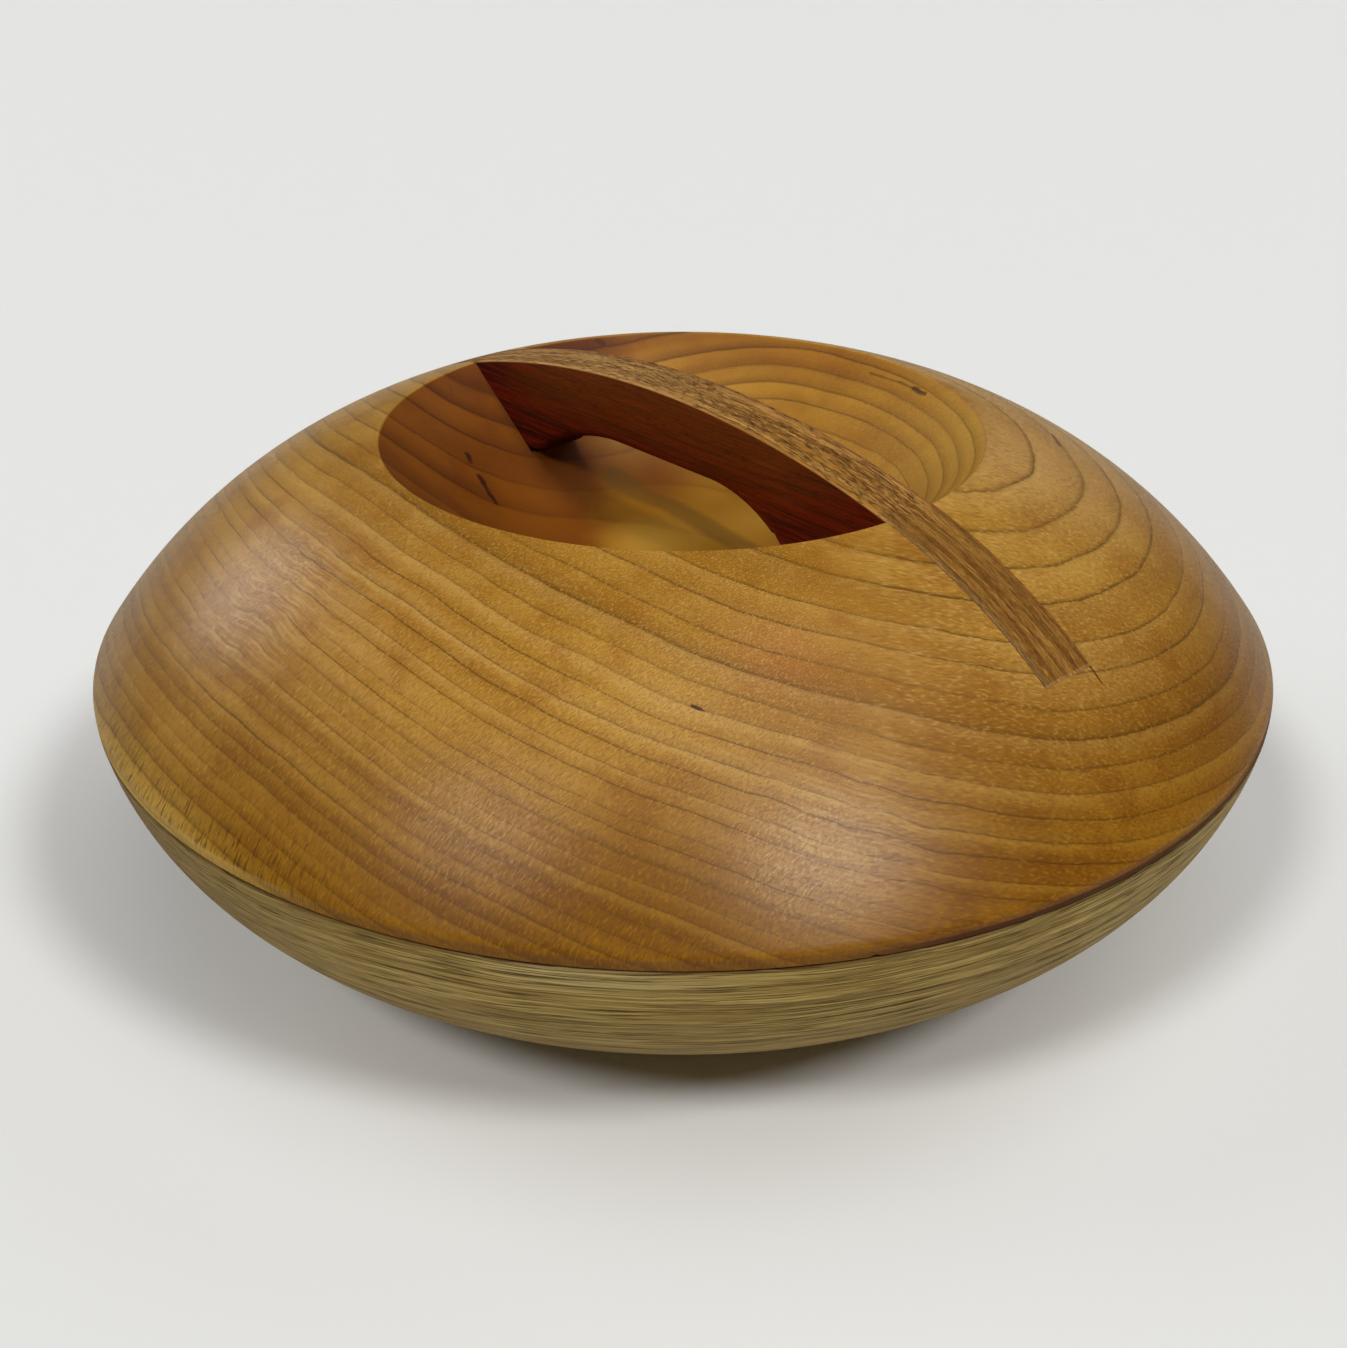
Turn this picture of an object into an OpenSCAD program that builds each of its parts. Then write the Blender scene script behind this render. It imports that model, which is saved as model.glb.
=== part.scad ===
// Turned bowl with a domed lid. The lid has a dished recess, and a bar handle crosses the recess.
// The origin is the middle of the foot on the table, Z is the turning axis and the handle runs along X.

/* [Bowl] */
// Diameter of the bowl and of the lid where they meet
bowl_d = 250; // [230:1:270]
// Height of the bowl from the table to the seam
bowl_h = 55; // [52:0.5:62]
// Radius of the belly's curve in section
belly_r = 54; // [48:1:58]
// Angle by which the side leans inward just below the seam
belly_lean = 10; // [4:1:16]
// Thickness of the wall, and width of the rim that the lid rests on
wall_t = 9.5; // [8:0.5:12]
// Thickness of the floor in the middle, above the recess of the foot
floor_t = 8; // [6:0.5:12]
// Diameter of the foot
foot_d = 105; // [90:1:120]
// Height of the underside's middle above the table, before the foot is cut
underside_h = 3; // [2:0.5:5]
// Width of the ring that stands on the table
foot_ring_w = 8; // [5:0.5:14]
// Depth of the recess inside that ring
foot_recess = 2; // [1:0.5:3]

/* [Lid] */
// Height of the sharp rim above the seam
lid_h = 46.5; // [42:0.5:52]
// Diameter of the round opening inside the rim
opening_d = 126; // [112:1:140]
// Radius of the dome's curve in section
dome_r = 115; // [100:1:140]
// Height of the straight edge just above the seam
land_h = 2.5; // [1.5:0.5:4]
// Depth of the recess below the rim
recess_depth = 26; // [22:0.5:28]
// Slope of the recess wall, measured from level
recess_slope = 40; // [36:1:46]
// Radius between the wall and the floor of the recess
recess_round = 32; // [20:1:40]
// Thickness of the wood between the recess and the hollow under the lid
recess_t = 9; // [7:0.5:11]
// Thickness of the wood under the dome
dome_t = 10; // [8:0.5:13]
// Depth of the ring that drops into the bowl
spigot_h = 5; // [4:0.5:7]
// Thickness of that ring
spigot_t = 7; // [5:0.5:9]
// Gap between that ring and the bowl, all round
spigot_gap = 0.4; // [0.3:0.1:0.8]
// Extra depth of the straight mouth below that ring
mouth_spare = 1; // [0.5:0.5:2]

/* [Handle] */
// Width of the bar
handle_w = 12.8; // [10:0.2:18]
// Rise of the bar's top above the rim, in the middle
handle_rise = 9; // [6:0.5:12]
// Height of the slot floors above the seam
slot_floor_h = 27; // [25:0.5:30]
// Thickness of the wood under the slot floors
slot_floor_t = 6; // [4:0.5:8]
// Gap for glue on each side of the bar in its slots
glue_gap = 0.1; // [0.1:0.05:0.2]
// Height of the arch above the slot floors
arch_h = 13; // [11:0.5:16]
// Length of the level middle of the arch
arch_flat = 28; // [20:1:32]
// Radius of the arch's ends
arch_round = 30; // [26:1:32]

/* [Hidden] */
$fn = 180;

// How far a cut runs past the faces that it opens
past = 5;
// How far two curves that run into each other overlap there
overlap = 0.02;
// Length that is past everything in a section
reach = 2 * bowl_d;

bowl_r = bowl_d / 2;
seam_z = bowl_h;
rim_z = seam_z + lid_h;
opening_r = opening_d / 2;
foot_r = foot_d / 2;
floor_z = foot_recess + floor_t;
mouth_r = bowl_r - wall_t;
spigot_r = mouth_r - spigot_gap;
slot_z = seam_z + slot_floor_h;
arch_z = slot_z + arch_h;
handle_top_z = rim_z + handle_rise;

// The belly's centre, from the seam and the lean of the side there
belly_c = [bowl_r - belly_r * cos(belly_lean), seam_z + belly_r * sin(belly_lean)];

// Radius of the curve that is centred on the axis, is lowest at height z and runs into the
// curve of radius r round the belly's centre
function base_r(r, z) =
    (belly_c.x * belly_c.x + (belly_c.y - z) * (belly_c.y - z) - r * r) / (2 * (belly_c.y - z - r));

// Centre of a curve of radius r from one point down to the next, bulging up and outward
function curve_c(from, to, r) =
    let (half = (to - from) / 2)
    let (inward = [half.y, -half.x] / norm(half))
    from + half + inward * sqrt(r * r - half * half);

dome_c = curve_c([opening_r, rim_z], [bowl_r, seam_z + land_h], dome_r);

// The cap over the opening that the top of the handle is cut from
cap_r = (opening_r * opening_r + handle_rise * handle_rise) / (2 * handle_rise);

// The centre of the round between the wall and the floor of the recess
recess_z = rim_z - recess_depth;
recess_corner_r = opening_r - recess_depth / tan(recess_slope);
recess_c = [recess_corner_r - recess_round * tan(recess_slope / 2), recess_z + recess_round];
wall_up = [cos(recess_slope), sin(recess_slope)];
wall_out = [sin(recess_slope), -cos(recess_slope)];

// The underside's height where the side of the foot meets it
underside_r = base_r(belly_r, underside_h);
foot_h = underside_h + underside_r - sqrt(underside_r * underside_r - foot_r * foot_r);

// Section of a round vessel up to height top, with a belly of radius r and a base that is lowest at height z
module vessel_section(r, z, top) {
    base = base_r(r - overlap, z);
    base_c = [0, z + base];
    along = (belly_c - base_c) / norm(belly_c - base_c);
    intersection() {
        square([reach, top]);
        translate(base_c) circle(base);
        union() {
            translate(belly_c) circle(r);
            square([belly_c.x + r * along.x, top]);
        }
    }
}

// Section of the recess, with its floor and wall moved outward by grow
module recess_section(grow) {
    r = recess_round + grow;
    corner = [recess_c.x + r * tan(recess_slope / 2), recess_c.y - r];
    wall_end = [opening_r, rim_z] + grow * wall_out;
    top = handle_top_z + past;
    intersection() {
        polygon([[0, corner.y], corner, wall_end, [wall_end.x, top], [0, top]]);
        union() {
            translate(recess_c) circle(r + overlap);
            square([recess_c.x, top]);
            translate(recess_c) polygon([[0, 0], reach * wall_out, reach * (wall_out + wall_up), reach * wall_up]);
        }
    }
}

// Section of the outside of the lid above the seam, with the dome moved inward by shrink
module dome_section(shrink) {
    intersection() {
        translate(dome_c) circle(dome_r - shrink);
        translate([0, seam_z]) square([bowl_r, handle_top_z]);
    }
}

// Section of the hollow under the lid, open at the bottom
module hollow_section() {
    hollow_r = spigot_r - spigot_t;
    roof_z = slot_z - slot_floor_t;
    low_z = seam_z - spigot_h - past;
    difference() {
        union() {
            intersection() {
                dome_section(dome_t);
                square([hollow_r, roof_z]);
            }
            translate([0, low_z]) square([hollow_r, seam_z + land_h - low_z]);
        }
        recess_section(recess_t);
    }
}

// Bar that fills the slots, from their floor to above the lid
module bar(width) {
    translate([-bowl_r, -width / 2, slot_z]) cube([bowl_d, width, handle_top_z]);
}

module bowl() {
    color("#a08c69")
    rotate_extrude() {
        difference() {
            union() {
                vessel_section(belly_r, underside_h, seam_z);
                square([foot_r, foot_h + wall_t / 2]);
            }
            vessel_section(belly_r - wall_t, floor_z, seam_z + past);
            translate([0, seam_z - spigot_h - mouth_spare])
                square([mouth_r, spigot_h + mouth_spare + past]);
            translate([0, -past]) square([foot_r - foot_ring_w, foot_recess + past]);
        }
    }
}

module lid() {
    color("#b8843f")
    difference() {
        rotate_extrude() {
            difference() {
                union() {
                    dome_section(0);
                    translate([0, seam_z - spigot_h]) square([spigot_r, spigot_h + land_h]);
                }
                hollow_section();
                recess_section(0);
            }
        }
        bar(handle_w + 2 * glue_gap);
    }
}

module handle() {
    color("#6b3a22")
    difference() {
        intersection() {
            bar(handle_w);
            rotate_extrude() {
                intersection() {
                    dome_section(0);
                    translate([opening_r, seam_z]) square([bowl_r, handle_top_z]);
                }
                intersection() {
                    translate([0, handle_top_z - cap_r]) circle(cap_r);
                    translate([0, seam_z]) square([opening_r, handle_top_z]);
                }
            }
        }
        rotate([90, 0, 0]) linear_extrude(handle_w + 2 * past, center = true) {
            translate([-arch_flat / 2, seam_z]) square([arch_flat, arch_z - seam_z]);
            for (side = [-1, 1]) translate([side * arch_flat / 2, arch_z - arch_round]) circle(arch_round);
        }
    }
}

bowl();
lid();
handle();
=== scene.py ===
import math
import bmesh
import bpy
from mathutils import Euler, Matrix, Vector


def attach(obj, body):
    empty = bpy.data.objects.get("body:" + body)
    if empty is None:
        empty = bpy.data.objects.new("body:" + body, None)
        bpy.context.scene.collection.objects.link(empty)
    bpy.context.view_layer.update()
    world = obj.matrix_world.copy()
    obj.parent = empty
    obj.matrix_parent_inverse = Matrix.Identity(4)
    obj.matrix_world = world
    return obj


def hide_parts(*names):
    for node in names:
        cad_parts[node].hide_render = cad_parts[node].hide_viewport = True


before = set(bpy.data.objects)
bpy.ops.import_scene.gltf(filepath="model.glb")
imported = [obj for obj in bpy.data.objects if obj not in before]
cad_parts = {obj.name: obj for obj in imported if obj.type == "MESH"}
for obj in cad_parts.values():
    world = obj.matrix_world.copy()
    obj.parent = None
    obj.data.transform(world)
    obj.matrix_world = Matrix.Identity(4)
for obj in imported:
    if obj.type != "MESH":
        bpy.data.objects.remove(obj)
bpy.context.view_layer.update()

# The bowl is the lower half, turned from one round blank of pale grey-brown oak. It stands on a
# ring foot, and a straight mouth cut in its rim takes the ring of the lid. It is oiled, not varnished.

MM = 0.001
bowl_r = 125 * MM
seam_z = 55 * MM
belly_r = 54 * MM
belly_lean = math.radians(10)
wall_t = 9.5 * MM
inside_r = belly_r - wall_t
mouth_r = bowl_r - wall_t
mouth_floor_z = 49 * MM
underside_z = 3 * MM
floor_z = 10 * MM
foot_r = 52.5 * MM
foot_ring_w = 8 * MM
foot_in_r = foot_r - foot_ring_w
foot_recess_z = 2 * MM
rim_ease = 0.35 * MM
foot_ease = 0.7 * MM
belly_c = Vector((bowl_r - belly_r * math.cos(belly_lean), seam_z + belly_r * math.sin(belly_lean)))

# Ways that an outline can run, and the number of steps in a full turn
UP = (0, 1)
DOWN = (0, -1)
OUT = (1, 0)
IN = (-1, 0)
TURNS = 288


def arc(centre, radius, first, last, steps):
    """Points of an outline along a curve round a centre, from one angle in degrees to another."""
    angles = [math.radians(first + (last - first) * k / steps) for k in range(steps + 1)]
    return [centre + radius * Vector((math.cos(a), math.sin(a))) for a in angles]


def angle_of(centre, point):
    """The angle in degrees at which a point lies from a centre."""
    return math.degrees(math.atan2(point.y - centre.y, point.x - centre.x))


def eased(corner, came, goes, radius, steps=5):
    """Points that round off a corner of an outline, between the way it came and the way it goes on."""
    came, goes = Vector(came).normalized(), Vector(goes).normalized()
    bend = math.atan2(came.x * goes.y - came.y * goes.x, came.dot(goes))
    side = math.copysign(1, bend)
    start = corner - came * radius * math.tan(abs(bend) / 2)
    centre = start + side * radius * Vector((-came.y, came.x))
    first = angle_of(centre, start)
    curve = arc(centre, radius, first, first + math.degrees(bend), steps)
    return [curve[0] - came * radius / 4] + curve + [curve[-1] + goes * radius / 4]


def base_sphere(r, z):
    """The round about the axis that is lowest at height z and runs into the belly's curve of radius r."""
    drop = belly_c.y - z
    radius = (belly_c.x ** 2 + drop ** 2 - r ** 2) / (2 * (drop - r))
    centre = Vector((0, z + radius))
    return centre, radius, angle_of(centre, belly_c)


def active(piece):
    """Makes the piece the only one selected, and the one that operators work on."""
    bpy.ops.object.select_all(action="DESELECT")
    piece.select_set(True)
    bpy.context.view_layer.objects.active = piece


def drawn(name, points):
    """A chain of edges through the points, left open for editing, drawn one vertex after another."""
    bpy.ops.object.select_all(action="DESELECT")
    bpy.ops.mesh.primitive_plane_add(size=MM)
    piece = bpy.context.object
    piece.name = piece.data.name = name
    bpy.ops.object.mode_set(mode="EDIT")
    bpy.ops.mesh.select_mode(type="VERT")
    bpy.ops.mesh.merge(type="CENTER")
    bpy.ops.transform.translate(value=points[0])
    for here, there in zip(points, points[1:]):
        bpy.ops.mesh.extrude_vertices_move(TRANSFORM_OT_translate={"value": there - here})
    return piece


def turned(name, outline):
    """A round piece: the outline, in distance from the axis and height, spun about the axis."""
    piece = drawn(name, [Vector((r, 0, z)) for r, z in outline])
    bpy.ops.mesh.select_all(action="SELECT")
    bpy.ops.mesh.spin(steps=TURNS, angle=2 * math.pi, center=(0, 0, 0), axis=(0, 0, 1))
    bpy.ops.mesh.select_all(action="SELECT")
    bpy.ops.mesh.remove_doubles(threshold=MM / 200)
    bpy.ops.mesh.normals_make_consistent(inside=False)
    bpy.ops.object.mode_set(mode="OBJECT")
    return piece


def smoothed(piece, sharp=32):
    """Smooth shading, but for the edges that turn by more than an angle in degrees."""
    active(piece)
    bpy.ops.object.shade_smooth_by_angle(angle=math.radians(sharp))


inner_c, inner_r, inner_end = base_sphere(inside_r, floor_z)
outer_c, outer_r, outer_end = base_sphere(belly_r, underside_z)
mouth_start = -math.degrees(math.asin((belly_c.y - mouth_floor_z) / inside_r))
side_start = -11
side_down = (-math.sin(belly_lean), -math.cos(belly_lean))
foot_top = outer_c.y - math.sqrt(outer_r ** 2 - foot_r ** 2)
foot_side = angle_of(outer_c, Vector((foot_r, foot_top)))

bowl_outline = arc(inner_c, inner_r, -90, inner_end, steps=24)
bowl_outline += arc(belly_c, inside_r, inner_end, mouth_start, steps=30)[1:]
bowl_outline += [Vector((mouth_r, mouth_floor_z))]
bowl_outline += eased(Vector((mouth_r, seam_z)), UP, OUT, rim_ease)
bowl_outline += eased(Vector((bowl_r, seam_z)), OUT, side_down, rim_ease)
bowl_outline += arc(belly_c, belly_r, side_start, outer_end, steps=44)
bowl_outline += arc(outer_c, outer_r, outer_end, foot_side, steps=12)[1:]
bowl_outline += eased(Vector((foot_r, 0)), DOWN, IN, foot_ease)
bowl_outline += eased(Vector((foot_in_r, 0)), IN, UP, foot_ease)
bowl_outline += [Vector((foot_in_r, foot_recess_z)), Vector((0, foot_recess_z))]
bowl = turned("oak_bowl", bowl_outline)
smoothed(bowl)


class Finish:
    """A piece's material, with short ways to add the nodes that it is made of. Places are in millimetres."""

    def __init__(self, name, piece):
        material = bpy.data.materials.new(name)
        material.use_nodes = True
        self.tree = material.node_tree
        self.shader = self.tree.nodes["Principled BSDF"]
        piece.data.materials.clear()
        piece.data.materials.append(material)
        self.place = self.scaled(self.add("TexCoord").outputs["Object"], 1 / MM)

    def add(self, kind, inputs=(), **settings):
        """A node of that kind, with its inputs by name or number set to values or joined to outputs."""
        made = self.tree.nodes.new("ShaderNode" + kind)
        for key, value in settings.items():
            setattr(made, key, value)
        for key, value in dict(inputs).items():
            if isinstance(value, bpy.types.NodeSocket):
                self.tree.links.new(value, made.inputs[key])
            else:
                made.inputs[key].default_value = value
        return made

    def maths(self, operation, *values):
        return self.add("Math", enumerate(values), operation=operation).outputs[0]

    def vector(self, operation, *values):
        made = self.add("VectorMath", enumerate(values), operation=operation)
        return made.outputs["Value" if operation in ("DOT_PRODUCT", "LENGTH", "DISTANCE") else "Vector"]

    def scaled(self, place, factor):
        return self.add("VectorMath", {0: place, "Scale": factor}, operation="SCALE").outputs["Vector"]

    def joined(self, x, y, z=0.0):
        """A place made of three measures."""
        return self.add("CombineXYZ", {0: x, 1: y, 2: z}).outputs[0]

    def along(self, direction):
        """How far a place lies along a direction."""
        return self.vector("DOT_PRODUCT", self.place, direction)

    def from_axis(self):
        """How far a place lies from the turning axis."""
        return self.vector("LENGTH", self.vector("MULTIPLY", self.place, (1, 1, 0)))

    def facing_up(self):
        """One where the surface faces up, nothing where it is upright and minus one where it faces down."""
        return self.add("SeparateXYZ", {0: self.add("NewGeometry").outputs["Normal"]}).outputs[2]

    def noise(self, place, scale=1.0, detail=2.0, roughness=0.5):
        inputs = {"Vector": place, "Scale": scale, "Detail": detail, "Roughness": roughness}
        return self.add("TexNoise", inputs).outputs[0]

    def wander(self, scale, reach, detail=1.0):
        """A smooth push to and fro of about a distance, over patches of one over scale."""
        return self.maths("MULTIPLY_ADD", self.noise(self.place, scale, detail), 5 * reach, -2.5 * reach)

    def between(self, value, low, high, start=0.0, end=1.0, soft=True):
        """Runs from start to end as the value runs from low to high."""
        return self.add("MapRange", {0: value, 1: low, 2: high, 3: start, 4: end},
                        interpolation_type="SMOOTHSTEP" if soft else "LINEAR").outputs[0]

    def near(self, point, reach):
        """One at a point, fading to nothing at a distance from it."""
        return self.between(self.vector("DISTANCE", self.place, point), 0, reach, 1, 0)

    def all_of(self, *amounts):
        """The product of some amounts."""
        product = amounts[0]
        for amount in amounts[1:]:
            product = self.maths("MULTIPLY", product, amount)
        return product

    def mixed(self, amount, first, second, blend="MIX"):
        """The first colour, with an amount of the second laid over it."""
        inputs = {0: amount, 6: first, 7: second}
        return self.add("Mix", inputs, data_type="RGBA", blend_type=blend).outputs[2]

    def stained(self, amount, colour, stain):
        """The colour as it looks through an amount of a thin stain."""
        return self.mixed(amount, colour, stain, "MULTIPLY")

    def finish(self, colour, roughness, height, depth, gloss):
        """Joins the colour, roughness and fine relief to the shader. The relief's depth is in millimetres."""
        self.tree.links.new(colour, self.shader.inputs["Base Color"])
        self.tree.links.new(roughness, self.shader.inputs["Roughness"])
        relief = self.add("Bump", {"Strength": 1.0, "Distance": depth * MM, "Height": height})
        self.tree.links.new(relief.outputs[0], self.shader.inputs["Normal"])
        self.shader.inputs["Specular IOR Level"].default_value = gloss


def tint(red, green, blue):
    """A colour given as it looks on a screen, from 0 to 255, as the shader reads it."""
    levels = [c / 255 for c in (red, green, blue)]
    return [c / 12.92 if c <= 0.04045 else ((c + 0.055) / 1.055) ** 2.4 for c in levels] + [1.0]


# The grain of the oak runs level, from left to right as the bowl is seen. Each year starts with a band
# of wide pores, which the turning cut into dark tapered dashes, and ends with plain creamy wood.
seen_turn = math.radians(47.287)
GRAIN = Vector((math.cos(seen_turn), math.sin(seen_turn), 0))
DEPTH = Vector((-math.sin(seen_turn), math.cos(seen_turn), 0))
oak_year_w = 3.3
oak_sway_reach = 6
oak_ripple_reach = 1.6
oak_brown = tint(146, 120, 58)
oak_straw = tint(182, 154, 82)
oak_cream = tint(216, 192, 122)
oak_umber = tint(94, 72, 32)
oak_tan = tint(160, 132, 70)
oak_sapwood = tint(206, 188, 134)
oak_grey = tint(66, 56, 40)
oak_pore = tint(74, 52, 14)
oak_thread = tint(104, 80, 36)
oak_left_shade = tint(206, 194, 166)
oak_seam_shade_colour = tint(78, 50, 22)

oak = Finish("oiled_oak", bowl)
oak_along = oak.along(GRAIN)
oak_across = oak.along(DEPTH)
oak_high = oak.along((0, 0, 1))
oak_out = oak.from_axis()
oak_sway = oak.noise(oak.vector("MULTIPLY", oak.place, (0.012, 0.012, 0.03)), 1, 1)
oak_ripple = oak.noise(oak.vector("MULTIPLY", oak.place, (0.05, 0.05, 0.12)), 1, 1)


def oak_bent(straight):
    """A distance across the grain, with the long sway and the short ripple of the grain."""
    rippled = oak.maths("MULTIPLY_ADD", oak_ripple, oak_ripple_reach, straight)
    return oak.maths("MULTIPLY_ADD", oak_sway, oak_sway_reach, rippled)


oak_level = oak_bent(oak_high)
oak_deep = oak_bent(oak_across)
oak_facing = oak.facing_up()
oak_inside = oak.all_of(oak.between(oak_facing, 0.3, 0.55), oak.between(oak_out, 124.6, 123.8))
oak_flat = oak.maths("MAXIMUM", oak_inside, oak.between(oak_facing, -0.93, -0.97))


def oak_by_cut(upright, level):
    """The first value where the oak is cut upright, and the second where it is cut level."""
    return oak.maths("MULTIPLY_ADD", oak_flat, oak.maths("SUBTRACT", level, upright), upright)


def oak_dashes(length, width, thickness):
    """A pattern of dashes along the grain, of about a length, a width into the wood and a thickness."""
    cuts = []
    for into, across in ((oak_across, oak_level), (oak_high, oak_deep)):
        spot = oak.joined(oak.maths("DIVIDE", oak_along, length),
                          oak.maths("DIVIDE", into, width),
                          oak.maths("DIVIDE", across, thickness))
        cuts.append(oak.noise(spot, 1, 2, 0.55))
    return oak_by_cut(*cuts)


oak_year = oak.maths("FRACT", oak.maths("DIVIDE", oak_by_cut(oak_level, oak_deep), oak_year_w))
oak_early = oak.all_of(oak.between(oak_year, 0, 0.08), oak.between(oak_year, 0.7, 0.3))
oak_bands = oak_dashes(90, 30, 1.1)
oak_streaks = oak_dashes(34, 12, 0.42)
oak_pores = oak_dashes(15, 7, 0.24)
oak_fine = oak_dashes(7, 3, 0.14)
oak_patches = oak.noise(oak.place, 0.02, 2)
oak_colour = oak.mixed(oak.between(oak_bands, 0.36, 0.62), oak_brown, oak_straw)
oak_colour = oak.mixed(oak.between(oak_streaks, 0.5, 0.66, 0, 0.62), oak_colour, oak_cream)
oak_colour = oak.mixed(oak.between(oak_streaks, 0.47, 0.33, 0, 0.62), oak_colour, oak_umber)
oak_colour = oak.mixed(oak.between(oak_patches, 0.4, 0.7, 0, 0.4), oak_colour, oak_tan)
# A pale sappy patch with a few grey stains lies just under the rim, at the front
oak_sappy = oak.all_of(oak.near((80, -94, 54), 32), oak.between(oak_high, 48, 52.5),
                       oak.between(oak_streaks, 0.4, 0.55), 0.6)
oak_colour = oak.mixed(oak_sappy, oak_colour, oak_sapwood)
oak_stain = oak.all_of(oak.near((71, -101, 53), 14), oak.between(oak_streaks, 0.48, 0.36), 0.7)
oak_colour = oak.mixed(oak_stain, oak_colour, oak_grey)
oak_depth = oak.maths("MULTIPLY_ADD", oak_early, 0.06, oak.between(oak_patches, 0.3, 0.7, 0.41, 0.35))
oak_open = oak.between(oak.maths("SUBTRACT", oak_pores, oak_depth), 0.03, -0.05)
oak_colour = oak.mixed(oak.maths("MULTIPLY", oak_open, 0.8), oak_colour, oak_pore)
oak_colour = oak.mixed(oak.between(oak_fine, 0.46, 0.34, 0, 0.35), oak_colour, oak_thread)
# Painted shade: the left end is darker, where the bowl lies in shade, and so is the eased edge of the rim, as
# a painted shadow line of the seam
oak_colour = oak.stained(oak.between(oak_along, -50, -115), oak_colour, oak_left_shade)
oak_seam_shadow = oak.all_of(oak.between(oak_high, 54.3, 54.8), oak.between(oak_out, 124.0, 124.5), 0.6)
oak_colour = oak.mixed(oak_seam_shadow, oak_colour, oak_seam_shade_colour)
oak_rough = oak.between(oak_open, 0, 1, 0.5, 0.75)
oak_relief = oak.maths("MULTIPLY_ADD", oak_open, -1, oak.maths("MULTIPLY", oak_fine, 0.4))
oak.finish(oak_colour, oak_rough, oak_relief, depth=0.1, gloss=0.2)

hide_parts("bowl")
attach(bowl, "bowl")


# The lid is the upper half, turned from one blank of cherry: a low dome with a dished recess in its top,
# hollowed from below, and a ring that drops into the bowl's mouth. Two open slots are sawn for the handle.

rim_r = 63 * MM
rim_z = 101.5 * MM
dome_r = 115 * MM
dome_t = 10 * MM
land_h = 2.5 * MM
land_ease = 2.6 * MM
seam_gap = 0.3 * MM
seam_gap_r = bowl_r - 2 * MM
bearing_r = bowl_r - 2.2 * MM
low_edge_ease = 0.4 * MM
recess_z = 75.5 * MM
recess_slope = math.radians(40)
recess_round = 32 * MM
recess_t = 9 * MM
spigot_r = mouth_r - 0.4 * MM
spigot_in_r = spigot_r - 7 * MM
spigot_z = 50 * MM
spigot_ease = 0.5 * MM
slot_z = 82 * MM
slot_rise = 3 * MM
slot_half_w = 6.5 * MM
slot_start = 36.36 * MM
roof_z = 76 * MM

opening = Vector((rim_r, rim_z))
shoulder = Vector((bowl_r, seam_z + land_h))
half_chord = (shoulder - opening) / 2
chord_side = Vector((half_chord.y, -half_chord.x)).normalized()
dome_c = opening + half_chord + chord_side * math.sqrt(dome_r ** 2 - half_chord.length_squared)
wall_up = Vector((math.cos(recess_slope), math.sin(recess_slope)))
recess_corner_r = rim_r - (rim_z - recess_z) / math.tan(recess_slope)
recess_c = Vector((recess_corner_r - recess_round * math.tan(recess_slope / 2), recess_z + recess_round))


def dome_tangent(angle):
    """The way the dome runs, outward and down, at an angle in degrees from its centre."""
    return Vector((math.sin(math.radians(angle)), -math.cos(math.radians(angle))))


rim_angle = angle_of(dome_c, opening)
land_angle = angle_of(dome_c, shoulder)
boss_r = recess_round + recess_t
boss_side = -math.degrees(math.asin((recess_c.y - roof_z) / boss_r))
hollow_r = dome_r - dome_t
hollow_low = math.degrees(math.acos((spigot_in_r - dome_c.x) / hollow_r))
hollow_high = math.degrees(math.asin((roof_z - dome_c.y) / hollow_r))

lid_outline = [Vector((recess_c.x * k / 6, recess_z)) for k in range(6)]
lid_outline += arc(recess_c, recess_round, -90, math.degrees(recess_slope) - 90, steps=22)
wall_start = lid_outline[-1]
lid_outline += [wall_start.lerp(opening, k / 10) for k in range(1, 10)]
lid_outline += eased(opening, wall_up, dome_tangent(rim_angle), rim_ease)
lid_outline += arc(dome_c, dome_r, rim_angle - 0.3, land_angle + 0.6, steps=56)
lid_outline += eased(shoulder, dome_tangent(land_angle), DOWN, land_ease)
lid_outline += eased(Vector((bowl_r, seam_z + seam_gap)), DOWN, IN, low_edge_ease)
lid_outline += [Vector((seam_gap_r, seam_z + seam_gap)), Vector((bearing_r, seam_z))]
lid_outline += [Vector((spigot_r, seam_z))]
lid_outline += eased(Vector((spigot_r, spigot_z)), DOWN, IN, spigot_ease)
lid_outline += eased(Vector((spigot_in_r, spigot_z)), IN, UP, spigot_ease)
lid_outline += arc(dome_c, hollow_r, hollow_low, hollow_high, steps=16)
lid_outline += arc(recess_c, boss_r, boss_side, -90, steps=18)
lid_outline += [Vector((0, recess_c.y - boss_r))]
lid = turned("cherry_lid", lid_outline)


def shaped(piece, kind, helper, **settings):
    """Applies a modifier that uses a helper shape, then deletes the helper."""
    modifier = piece.modifiers.new(kind, kind)
    for key, value in settings.items():
        setattr(modifier, key, value)
    active(piece)
    bpy.ops.object.modifier_apply(modifier=modifier.name)
    active(helper)
    bpy.ops.object.delete()


def cut_away(piece, cutter):
    """Takes the cutter's shape out of the piece."""
    shaped(piece, "BOOLEAN", cutter, operation="DIFFERENCE", solver="EXACT", object=cutter)


slot_end = dome_c.x + math.sqrt(dome_r ** 2 - (slot_z - dome_c.y) ** 2)


def slot_floor(r):
    """The height of the sawn slots' floors at a distance from the axis."""
    return slot_z + slot_rise * (slot_end - r) / (slot_end - slot_start)


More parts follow.
